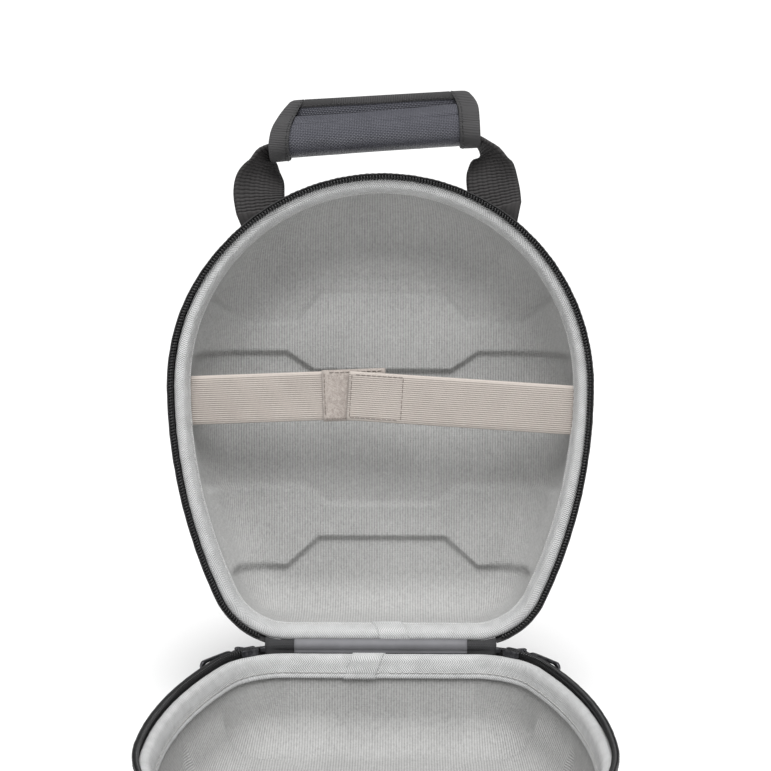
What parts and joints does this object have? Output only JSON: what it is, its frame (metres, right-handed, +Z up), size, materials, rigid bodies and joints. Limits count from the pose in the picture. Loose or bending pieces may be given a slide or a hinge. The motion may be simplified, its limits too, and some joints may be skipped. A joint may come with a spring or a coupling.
{
  "type": "headphone carrying case",
  "caption": "Zipped clamshell carrying case for headphones, standing open, with a fabric lining, an elastic retaining strap and a padded wrap-around carry handle.",
  "frame": {"origin": "middle of the base half's flat outer face, under the centre of its outline", "axes": "+X to the right as seen from the open front, +Y from the front end to the hinge, +Z up out of the base half"},
  "size_m": [0.2118, 0.319, 0.3284],
  "materials": {
    "shell_fabric": "matte",
    "lining_fabric": "matte",
    "binding_tape": "satin",
    "zip_tape": "matte",
    "zip_teeth": "satin",
    "hinge_fabric": "matte",
    "hinge_facing": "satin",
    "webbing": "matte",
    "grip_foam": "matte",
    "grip_fabric": "satin",
    "grip_tape": "matte",
    "hook_and_loop": "matte",
    "loop_patch": "matte",
    "elastic": "matte",
    "slider_metal": "satin"
  },
  "bodies": {
    "base": {"base_shell": "shell_fabric", "base_lining": "lining_fabric", "base_binding": "binding_tape", "base_zip_tape": "zip_tape", "base_zip_teeth": "zip_teeth", "base_hinge_leaf": "hinge_fabric", "base_hinge_facing": "hinge_facing", "zip_end_stops": "slider_metal", "left_slider": "slider_metal", "right_slider": "slider_metal"},
    "left_pull": {"left_pull": "slider_metal"},
    "right_pull": {"right_pull": "slider_metal"},
    "lid": {"lid_shell": "shell_fabric", "lid_lining": "lining_fabric", "lid_binding": "binding_tape", "lid_zip_tape": "zip_tape", "lid_zip_teeth": "zip_teeth", "lid_hinge_leaf": "hinge_fabric", "lid_hinge_facing": "hinge_facing", "left_webbing_tail": "webbing", "right_webbing_tail": "webbing"},
    "handle": {"handle_webbing": "webbing", "grip_padding": "grip_foam", "grip_cover": "grip_fabric", "grip_end_bindings": "grip_tape", "grip_loop_strip": "hook_and_loop"},
    "grip_flap": {"grip_flap": "grip_fabric", "grip_flap_binding": "grip_tape", "grip_hook_strip": "hook_and_loop"},
    "left_strap": {"left_strap": "elastic", "left_loop_patch": "loop_patch"},
    "right_strap": {"right_strap": "elastic", "right_hook_patch": "loop_patch"}
  },
  "joints": [
    {"name": "lid_hinge", "type": "hinge", "parent": "base", "child": "lid", "pos_m": [0, 0.11767, 0.0555], "axis": [-1, 0, 0], "range_deg": [-98, 80]},
    {"name": "handle_swing", "type": "hinge", "parent": "lid", "child": "handle", "pos_m": [0, 0.16794, 0.27456], "axis": [1, 0, 0], "range_deg": [-60, 25]},
    {"name": "flap_hinge", "type": "hinge", "parent": "handle", "child": "grip_flap", "pos_m": [-0.00468, 0.17156, 0.31938], "axis": [0.9983, 0.008, 0.057], "range_deg": [0, 60]},
    {"name": "left_strap_hinge", "type": "hinge", "parent": "lid", "child": "left_strap", "pos_m": [-0.0974, 0.15217, 0.17347], "axis": [0, 0.1392, 0.9903], "range_deg": [0, 15]},
    {"name": "right_strap_hinge", "type": "hinge", "parent": "lid", "child": "right_strap", "pos_m": [0.0954, 0.14754, 0.16999], "axis": [0, 0.1392, 0.9903], "range_deg": [0, 75]},
    {"name": "left_pull_hinge", "type": "hinge", "parent": "base", "child": "left_pull", "pos_m": [-0.07208, 0.11285, 0.05278], "axis": [0, 0, -1], "range_deg": [0, 50]},
    {"name": "right_pull_hinge", "type": "hinge", "parent": "base", "child": "right_pull", "pos_m": [0.07208, 0.11285, 0.05278], "axis": [0, 0, 1], "range_deg": [0, 50]}
  ]
}
